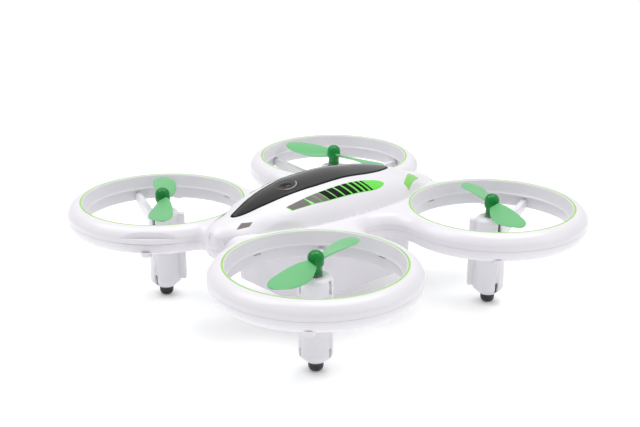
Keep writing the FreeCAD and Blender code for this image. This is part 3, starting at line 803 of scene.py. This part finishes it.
def add_hub(corner, body):
    profile = [(HUB_BORE_R, HUB_Z), (HUB_R - 0.55, HUB_Z), (HUB_R - 0.43, HUB_Z + 0.12),
               (HUB_R - 0.5, HUB_Z + 1.8), (HUB_R - 0.3, HUB_Z + 2.3), (HUB_R - 0.04, HUB_Z + 2.65),
               (HUB_R, HUB_Z + 3.0)]
    profile += [(0.45 + (HUB_R - 0.45) * math.cos(t), HUB_TOP - HUB_DOME + HUB_DOME * math.sin(t))
                for t in np.linspace(0, math.pi / 2, 14)]
    profile += [(0.04, HUB_TOP - 0.01), (0.04, HUB_BORE_END), (HUB_BORE_R, HUB_BORE_END)]
    builder = Builder()
    builder.turned(profile, CENTRE[corner], 64)
    hub = builder.piece("hub_" + corner, body, sharp=50)
    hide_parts("propeller_" + corner)


for corner in CORNERS:
    add_blades(corner, "propeller_unit_" + corner)
    add_hub(corner, "propeller_unit_" + corner)

# ------------------------------------------------------------------ battery housing

housing_low, housing_high = cad_box("battery_housing")
HOUSING_CORNER_R, HOUSING_FLOOR_R = 2.0, 0.9


def rounded_rectangle(low, high, radius, count=10):
    """Plan points round a rectangle, counterclockwise from its +X +Y corner."""
    points = []
    for x, y, first in ((high[0] - radius, high[1] - radius, 0), (low[0] + radius, high[1] - radius, 90),
                        (low[0] + radius, low[1] + radius, 180), (high[0] - radius, low[1] + radius, 270)):
        for turn in np.radians(np.linspace(first, first + 90, count)):
            points.append((x + radius * math.cos(turn), y + radius * math.sin(turn)))
    return points


def inset_rectangle(distance, z):
    """The housing's outline moved inward, at a height."""
    points = rounded_rectangle(housing_low[:2] + distance, housing_high[:2] - distance,
                               max(HOUSING_CORNER_R - distance, 0.3))
    return [(x, y, z) for x, y in points]


BELLY_FLOOR = housing_low[2]
REAR_WALL = housing_high[1]
ROOF = TOP_Z + UNDER + 0.2
housing_builder = Builder()
rows = [inset_rectangle(0.2, ROOF), inset_rectangle(0.0, ROOF - 0.05)]
for turn in np.radians(np.linspace(0, 90, 8)):
    rows.append(inset_rectangle(HOUSING_FLOOR_R * (1 - math.cos(turn)),
                                BELLY_FLOOR + HOUSING_FLOOR_R * (1 - math.sin(turn))))
rows += [inset_rectangle(1.1, BELLY_FLOOR), inset_rectangle(1.2, BELLY_FLOOR + 0.1),
         inset_rectangle(1.2, BELLY_FLOOR + 2.4)]
base = housing_builder.add_rows(rows)
housing_builder.cap(base, len(rows[0]))
housing_builder.cap(base + (len(rows) - 1) * len(rows[0]), len(rows[0]))
housing = housing_builder.piece("belly_housing", "airframe", sharp=50)
knob_low, knob_high = cad_box("power_switch_knob")
port_low, port_high = cad_box("charging_port")
openings = Builder()
openings.box((knob_low[0] - 0.3, REAR_WALL - 2.25, knob_low[2] - 0.3),
             (knob_high[0] + 2.3, REAR_WALL + 1.0, knob_high[2] + 0.3))
openings.box((port_low[0], port_low[1] - 0.1, port_low[2]), (port_high[0], REAR_WALL + 1.0, port_high[2]))
cut(housing, openings)
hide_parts("battery_housing")

GRIP_BARS, GRIP_FIRST_Y, GRIP_SPACING = 6, 8.0, 1.5
GRIP_WIDTH, GRIP_HALF_LENGTH = 0.6, 5
grip_builder = Builder()
for index in range(GRIP_BARS):
    y = GRIP_FIRST_Y + index * GRIP_SPACING
    grip_builder.box((-GRIP_HALF_LENGTH, y, BELLY_FLOOR - 0.25),
                     (GRIP_HALF_LENGTH, y + GRIP_WIDTH, BELLY_FLOOR + 0.2))
grip = grip_builder.piece("door_grip", "airframe")
bevel(grip, 0.12, 2)

# ------------------------------------------------------------------ materials


class Finish:
    """A procedural material, with its patterns in object coordinates."""

    def __init__(self, name, colour, roughness, **inputs):
        self.material = bpy.data.materials.new(name)
        self.material.use_nodes = True
        self.tree = self.material.node_tree
        self.shader = self.tree.nodes["Principled BSDF"]
        self.shader.inputs["Base Color"].default_value = colour + (1.0,)
        self.shader.inputs["Roughness"].default_value = roughness
        for key, value in inputs.items():
            self.shader.inputs[key.replace("_", " ")].default_value = value
        self.coordinates = self.tree.nodes.new("ShaderNodeTexCoord")

    def link(self, output, target):
        self.tree.links.new(output, target)

    def noise(self, scale, detail=3.0, stretch=None, roughness=0.5):
        node = self.tree.nodes.new("ShaderNodeTexNoise")
        node.inputs["Scale"].default_value = scale
        node.inputs["Detail"].default_value = detail
        node.inputs["Roughness"].default_value = roughness
        source = self.coordinates.outputs["Object"]
        if stretch:
            mapping = self.tree.nodes.new("ShaderNodeMapping")
            mapping.inputs["Scale"].default_value = stretch
            self.link(source, mapping.inputs["Vector"])
            source = mapping.outputs["Vector"]
        self.link(source, node.inputs["Vector"])
        return node.outputs["Fac"]

    def spread(self, factor, low, high):
        """Maps a noise to a range of values."""
        node = self.tree.nodes.new("ShaderNodeMapRange")
        node.inputs["From Min"].default_value = 0.3
        node.inputs["From Max"].default_value = 0.7
        node.inputs["To Min"].default_value = low
        node.inputs["To Max"].default_value = high
        self.link(factor, node.inputs["Value"])
        return node.outputs["Result"]

    def vary_colour(self, factor, low, high):
        """Base colour between two shades as a noise goes from low to high."""
        ramp = self.tree.nodes.new("ShaderNodeValToRGB")
        ramp.color_ramp.elements[0].position = 0.3
        ramp.color_ramp.elements[1].position = 0.7
        ramp.color_ramp.elements[0].color = low + (1.0,)
        ramp.color_ramp.elements[1].color = high + (1.0,)
        self.link(factor, ramp.inputs["Fac"])
        self.link(ramp.outputs["Color"], self.shader.inputs["Base Color"])

    def vary_roughness(self, factor, low, high):
        self.link(self.spread(factor, low, high), self.shader.inputs["Roughness"])

    def bump(self, height, distance, strength=1.0):
        node = self.tree.nodes.new("ShaderNodeBump")
        node.inputs["Distance"].default_value = distance * MM
        node.inputs["Strength"].default_value = strength
        node.inputs["Filter Width"].default_value = 2.0
        self.link(height, node.inputs["Height"])
        self.link(node.outputs["Normal"], self.shader.inputs["Normal"])

    def give(self, *pieces):
        for piece in pieces:
            piece.data.materials.clear()
            piece.data.materials.append(self.material)


def shaded(colour, amount):
    """A colour made lighter or darker."""
    return tuple(min(1.0, channel * amount) for channel in colour)


def moulded(name, colour, roughness, grain=0.004, tone=0.04, **inputs):
    """Injection moulded plastic: slight tone drift, fine orange peel and uneven gloss."""
    finish = Finish(name, colour, roughness, **inputs)
    finish.vary_colour(finish.noise(90, 2), shaded(colour, 1 - tone), shaded(colour, 1 + tone))
    finish.vary_roughness(finish.noise(420, 4), roughness * 0.85, roughness * 1.18)
    finish.bump(finish.noise(500, 1), grain, 0.4)
    return finish


def metal(name, colour, roughness, stretch):
    """Drawn or turned metal with fine lines along its stretched axis."""
    finish = Finish(name, colour, roughness, Metallic=1.0)
    lines = finish.noise(900, 4, stretch)
    finish.vary_colour(lines, shaded(colour, 0.85), shaded(colour, 1.1))
    finish.vary_roughness(lines, roughness * 0.75, roughness * 1.3)
    finish.bump(lines, 0.003)
    return finish


WHITE = (0.74, 0.725, 0.765)
white_plastic = moulded("white_plastic", WHITE, 0.34, tone=0.012, Coat_Weight=0.2, Coat_Roughness=0.15)

light_line_plastic = moulded("light_guide_plastic", (0.38, 0.70, 0.16), 0.35, tone=0.06,
                             Transmission_Weight=0.15)

blade_plastic = Finish("blade_plastic", (0.24, 0.66, 0.28), 0.28)
blade_plastic.vary_colour(blade_plastic.noise(60, 1), (0.135, 0.455, 0.185), (0.150, 0.475, 0.20))
blade_plastic.vary_roughness(blade_plastic.noise(150, 1), 0.30, 0.34)
blade_plastic.bump(blade_plastic.noise(60, 0), 0.0005, 0.05)

hub_plastic = moulded("hub_plastic", (0.0, 0.21, 0.032), 0.2, tone=0.1, Specular_IOR_Level=0.35)
rubber = moulded("foot_rubber", (0.010, 0.010, 0.011), 0.22, tone=0.3, grain=0.008)
black_plastic_and_painted_shade = moulded("black_plastic_and_painted_shade", (0.012, 0.012, 0.013), 0.25, tone=0.25)
slat_black = moulded("slat_black", (0.003, 0.004, 0.003), 0.5, tone=0.3, Specular_IOR_Level=0.12)
taupe = moulded("taupe_plastic", (0.17, 0.15, 0.142), 0.5, tone=0.06, Specular_IOR_Level=0.3)
panel_green = moulded("panel_green", (0.13, 0.70, 0.055), 0.25, tone=0.05, Coat_Weight=0.4)
tail_green = moulded("tail_light_green", (0.20, 0.60, 0.08), 0.25, tone=0.05, Coat_Weight=0.3)
bezel_grey = moulded("bezel_grey", (0.07, 0.07, 0.071), 0.5, tone=0.08, Specular_IOR_Level=0.3)
# Pale colour of the painted highlight on the lens bezel's rim
painted_highlight_finish = moulded("painted_highlight_pale", (0.36, 0.31, 0.30), 0.5)
accent_red_plastic = moulded("accent_red", (0.34, 0.06, 0.05), 0.5)
passage_tan = moulded("wire_passage_tan", (0.34, 0.27, 0.22), 0.6, tone=0.2)
board_green = moulded("board_green", (0.02, 0.13, 0.04), 0.35, tone=0.2)
battery_wrap = moulded("battery_wrap", (0.05, 0.09, 0.30), 0.3, tone=0.15)
motor_can = metal("motor_can", (0.55, 0.55, 0.56), 0.3, (1, 1, 12))
shaft_steel = metal("shaft_steel", (0.62, 0.62, 0.64), 0.22, (1, 1, 9))
screw_steel = metal("screw_steel", (0.42, 0.38, 0.34), 0.38, (6, 1, 1))

lens_glass = Finish("lens_glass", (0.004, 0.004, 0.006), 0.1, Specular_IOR_Level=0.3)
lens_glass.vary_roughness(lens_glass.noise(300, 2), 0.08, 0.13)
lens_glass.bump(lens_glass.noise(200, 2), 0.002)

rim_black = moulded("canopy_rim_black", (0.002, 0.002, 0.002), 0.45, tone=0.25, Specular_IOR_Level=0.1)

# The window's colour runs from darkest at its front end to greyer towards its tail
window = Finish("canopy_smoke", (0.03, 0.03, 0.032), 0.16, Specular_IOR_Level=0.4)
split = window.tree.nodes.new("ShaderNodeSeparateXYZ")
window.link(window.coordinates.outputs["Object"], split.inputs["Vector"])
along = window.tree.nodes.new("ShaderNodeMapRange")
along.inputs["From Min"].default_value = -38 * MM
along.inputs["From Max"].default_value = 26 * MM
window.link(split.outputs["Y"], along.inputs["Value"])
grain = window.tree.nodes.new("ShaderNodeMath")
grain.operation = "MULTIPLY_ADD"
grain.inputs[1].default_value = 0.06
window.link(window.noise(260, 3), grain.inputs[0])
window.link(along.outputs["Result"], grain.inputs[2])
shades = window.tree.nodes.new("ShaderNodeValToRGB")
shades.color_ramp.elements[0].position = 0.0
shades.color_ramp.elements[0].color = (0.016, 0.016, 0.017, 1)
shades.color_ramp.elements[1].position = 1.0
shades.color_ramp.elements[1].color = (0.045, 0.045, 0.047, 1)
middle = shades.color_ramp.elements.new(0.45)
middle.color = (0.030, 0.030, 0.031, 1)
window.link(grain.outputs["Value"], shades.inputs["Fac"])
window.link(shades.outputs["Color"], window.shader.inputs["Base Color"])
window.vary_roughness(window.noise(380, 3), 0.13, 0.2)
window.bump(window.noise(900, 2), 0.003)

# Which pieces each material goes on. A name that ends in "_" stands for all that start with it.
GIVEN = [
    (white_plastic, ("upper_shell", "lower_shell", "screw_bosses", "pod_", "spokes_", "belly_housing",
                     "door_grip", "battery_door")),
    (light_line_plastic, ("light_line_",)),
    (blade_plastic, ("blade_",)),
    (hub_plastic, ("hub_",)),
    (rubber, ("rubber_foot_",)),
    (passage_tan, ("wire_slots",)),
    # This black also goes on the pods' sleeves, as painted shade seen through the slots.
    (black_plastic_and_painted_shade, ("motor_sleeve_", "power_switch_", "charging_port", "board_components")),
    (slat_black, ("side_bars_black_",)),
    (taupe, ("side_bars_grey_", "head_lamp_")),
    (panel_green, ("side_inlay_",)),
    (tail_green, ("tail_lamp_",)),
    (bezel_grey, ("lens_bezel",)),
    (painted_highlight_finish, ("lens_accent",)),
    (accent_red_plastic, ("lens_accent_red",)),
    (board_green, ("circuit_board",)),
    (battery_wrap, ("battery",)),
    (motor_can, ("motor_front_", "motor_rear_")),
    (shaft_steel, ("motor_shaft_",)),
    (screw_steel, ("guard_screws", "battery_door_screws")),
    (lens_glass, ("lens_glass",)),
    (rim_black, ("canopy_rim",)),
    (window, ("canopy_glass",)),
]
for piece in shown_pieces():
    fits = [(len(start), finish) for finish, starts in GIVEN for start in starts
            if piece.name == start or (start.endswith("_") and piece.name.startswith(start))]
    max(fits, key=lambda fit: fit[0])[1].give(piece)

# ------------------------------------------------------------------ floor, light and camera

FLOOR_HALF_SIZE, FLOOR_THICKNESS, FLOOR_TOP = 2500, 2.0, -0.02
floor_builder = Builder()
floor_builder.box((-FLOOR_HALF_SIZE, -FLOOR_HALF_SIZE, FLOOR_TOP - FLOOR_THICKNESS),
                  (FLOOR_HALF_SIZE, FLOOR_HALF_SIZE, FLOOR_TOP))
floor = new_piece("floor", floor_builder.vertices, floor_builder.faces, "airframe")
floor.parent = None
floor_finish = Finish("floor_pale", (0.93, 0.93, 0.93), 0.7)
floor_finish.vary_colour(floor_finish.noise(3, 2), (0.92, 0.92, 0.92), (0.94, 0.94, 0.94))
floor_finish.shader.inputs["Emission Color"].default_value = (1.0, 1.0, 1.0, 1.0)
floor_finish.shader.inputs["Emission Strength"].default_value = 0.16
floor_finish.give(floor)


def area_light(name, at, aim, size, power):
    data = bpy.data.lights.new(name, "AREA")
    data.shape = "DISK"
    data.size = size
    data.energy = power
    light = bpy.data.objects.new(name, data)
    light.location = at
    direction = Vector(aim) - Vector(at)
    light.rotation_mode = "QUATERNION"
    light.rotation_quaternion = direction.to_track_quat("-Z", "Y")
    bpy.context.scene.collection.objects.link(light)


# Places and sizes of the lights are metres, their power watts
area_light("key_light", (-0.35, -0.3, 0.75), (0, 0, 0.03), 0.6, 2.6)
area_light("fill_light", (0.6, 0.4, 0.5), (0, 0, 0.03), 0.6, 0.8)
area_light("top_light", (0.0, 0.25, 0.9), (0, 0, 0.02), 0.7, 3.9)

WORLD_STRENGTH = 0.62
world = bpy.data.worlds.new("studio")
world.use_nodes = True
world.node_tree.nodes["Background"].inputs["Color"].default_value = (1.0, 1.0, 1.0, 1.0)
world.node_tree.nodes["Background"].inputs["Strength"].default_value = WORLD_STRENGTH
bpy.context.scene.world = world
bpy.context.scene.view_settings.view_transform = "Standard"

# Degrees round from -Y, degrees above the ground, millimetres from the target
CAMERA_TURN, CAMERA_RISE, CAMERA_AWAY = 48.36, 19.33, 366.1
CAMERA_LENS, SENSOR_WIDTH = 66.5, 36.0
CAMERA_TARGET = np.array([7.67, -9.36, TOP_Z])
turn, rise = math.radians(CAMERA_TURN), math.radians(CAMERA_RISE)
back = np.array([math.sin(turn) * math.cos(rise), -math.cos(turn) * math.cos(rise), math.sin(rise)])
camera_data = bpy.data.cameras.new("camera")
camera_data.lens = CAMERA_LENS
camera_data.sensor_width = SENSOR_WIDTH
camera_data.clip_start, camera_data.clip_end = 0.01, 20.0
camera = bpy.data.objects.new("camera", camera_data)
camera.location = (CAMERA_TARGET + back * CAMERA_AWAY) * MM
camera.rotation_mode = "QUATERNION"
camera.rotation_quaternion = (-Vector(back)).to_track_quat("-Z", "Y")
bpy.context.scene.collection.objects.link(camera)
bpy.context.scene.camera = camera
